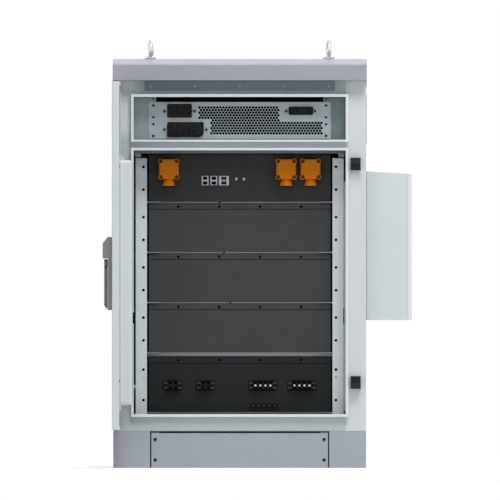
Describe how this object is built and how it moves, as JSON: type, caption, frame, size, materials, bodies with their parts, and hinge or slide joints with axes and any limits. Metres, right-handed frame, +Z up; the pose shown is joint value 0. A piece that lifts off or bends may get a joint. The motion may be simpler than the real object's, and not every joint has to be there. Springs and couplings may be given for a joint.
{
  "type": "outdoor battery cabinet",
  "caption": "Outdoor steel battery cabinet on a plinth with an open hinged door, rack-mounted battery units, a power unit, lifting eyes and a side cooling unit.",
  "frame": {"origin": "on the floor, midway between the plinth's two front anchor holes, on the underside of its front flange", "axes": "+Z up, the door opening faces -Y, +X to the right seen from the front"},
  "size_m": [0.8277, 1.371, 1.1531],
  "materials": {
    "shell_paint": "fine-textured light grey powder coat",
    "roof_paint": "fine-textured grey powder coat",
    "plinth_paint": "fine-textured mid grey powder coat",
    "unit_paint": "matt dark grey powder coat",
    "black_steel": "matt black powder coat",
    "panel_metal": "satin grey coat on sheet steel",
    "zinc_steel": "zinc-plated sheet, slightly cloudy",
    "bright_steel": "bright plated steel",
    "lever_metal": "dark grey coat on cast metal",
    "handle_plastic": "mid grey moulded plastic",
    "black_plastic": "moulded black plastic",
    "orange_plastic": "moulded orange plastic",
    "port_metal": "satin light metal",
    "seal_rubber": "foam rubber"
  },
  "bodies": {
    "cabinet": {"plinth_frame": "plinth_paint", "plinth_front_panel": "plinth_paint", "base_plate": "shell_paint", "left_wall": "shell_paint", "right_wall": "shell_paint", "rear_panel": "shell_paint", "top_plate": "shell_paint", "front_frame": "shell_paint", "lower_gutter_frame": "shell_paint", "upper_gutter_frame": "shell_paint", "compartment_shelf": "shell_paint", "side_vent_cover": "shell_paint", "roof_cover": "roof_paint", "lifting_eye_front_left": "bright_steel", "lifting_eye_front_right": "bright_steel", "lifting_eye_rear_left": "bright_steel", "lifting_eye_rear_right": "bright_steel", "hinge_upper": "bright_steel", "hinge_lower": "bright_steel", "keeper_upper": "black_steel", "keeper_lower": "black_steel", "rack_side_left": "zinc_steel", "rack_side_right": "zinc_steel", "junction_unit": "black_steel", "terminal_block_1": "black_plastic", "terminal_block_2": "black_plastic", "terminal_block_3": "black_plastic", "terminal_block_4": "black_plastic", "earth_comb": "black_steel", "battery_pack_1": "unit_paint", "battery_pack_2": "unit_paint", "battery_pack_3": "unit_paint", "control_unit": "unit_paint", "power_connector_left": "orange_plastic", "power_connector_middle": "orange_plastic", "power_connector_right": "orange_plastic", "port_board": "port_metal", "unit_rail_left": "panel_metal", "unit_rail_right": "panel_metal", "power_unit_case": "panel_metal", "power_unit_front": "panel_metal", "supply_connector": "black_plastic", "output_connector": "black_plastic", "signal_connector": "black_plastic", "cooler_housing": "shell_paint", "cooler_grille": "shell_paint"},
    "door": {"door_panel": "shell_paint", "door_liner": "shell_paint", "door_seal": "seal_rubber", "handle_base": "handle_plastic", "lock_gearbox": "zinc_steel"},
    "handle": {"handle_spindle": "lever_metal"},
    "lever": {"handle_lever": "lever_metal"},
    "upper_rod": {"lock_rod_upper": "zinc_steel", "rod_roller_upper": "black_plastic"},
    "lower_rod": {"lock_rod_lower": "zinc_steel", "rod_roller_lower": "black_plastic"},
    "start_button": {"start_button": "port_metal"},
    "reset_button": {"reset_button": "port_metal"},
    "fan": {"cooler_fan": "black_plastic"}
  },
  "joints": [
    {"name": "door_hinge", "type": "hinge", "parent": "cabinet", "child": "door", "pos_m": [-0.3295, -0.041, 0.5715], "axis": [0, 0, 1], "range_deg": [-15, 90]},
    {"name": "handle_turn", "type": "hinge", "parent": "door", "child": "handle", "pos_m": [-0.35565, -0.682, 0.549], "axis": [1, 0, 0], "range_deg": [0, 90]},
    {"name": "lever_tilt", "type": "hinge", "parent": "handle", "child": "lever", "pos_m": [-0.35565, -0.682, 0.549], "axis": [0, 1, 0], "range_deg": [0, 30]},
    {"name": "upper_rod_slide", "type": "slide", "parent": "door", "child": "upper_rod", "axis": [0, 0, 1], "range_m": [0, 0.014]},
    {"name": "lower_rod_slide", "type": "slide", "parent": "door", "child": "lower_rod", "axis": [0, 0, -1], "range_m": [0, 0.014]},
    {"name": "start_button_press", "type": "slide", "parent": "cabinet", "child": "start_button", "axis": [0, 1, 0], "range_m": [0, 0.002], "stiffness_N_per_m": 400},
    {"name": "reset_button_press", "type": "slide", "parent": "cabinet", "child": "reset_button", "axis": [0, 1, 0], "range_m": [0, 0.002], "stiffness_N_per_m": 400},
    {"name": "fan_spin", "type": "hinge", "parent": "cabinet", "child": "fan", "pos_m": [0.3934, 0.285, 0.534], "axis": [1, 0, 0], "continuous": true}
  ],
  "couplings": [
    {"joint": "handle_turn", "follows": "upper_rod_slide", "rad_per_m": 112.2},
    {"joint": "lower_rod_slide", "follows": "upper_rod_slide", "ratio": 1}
  ]
}
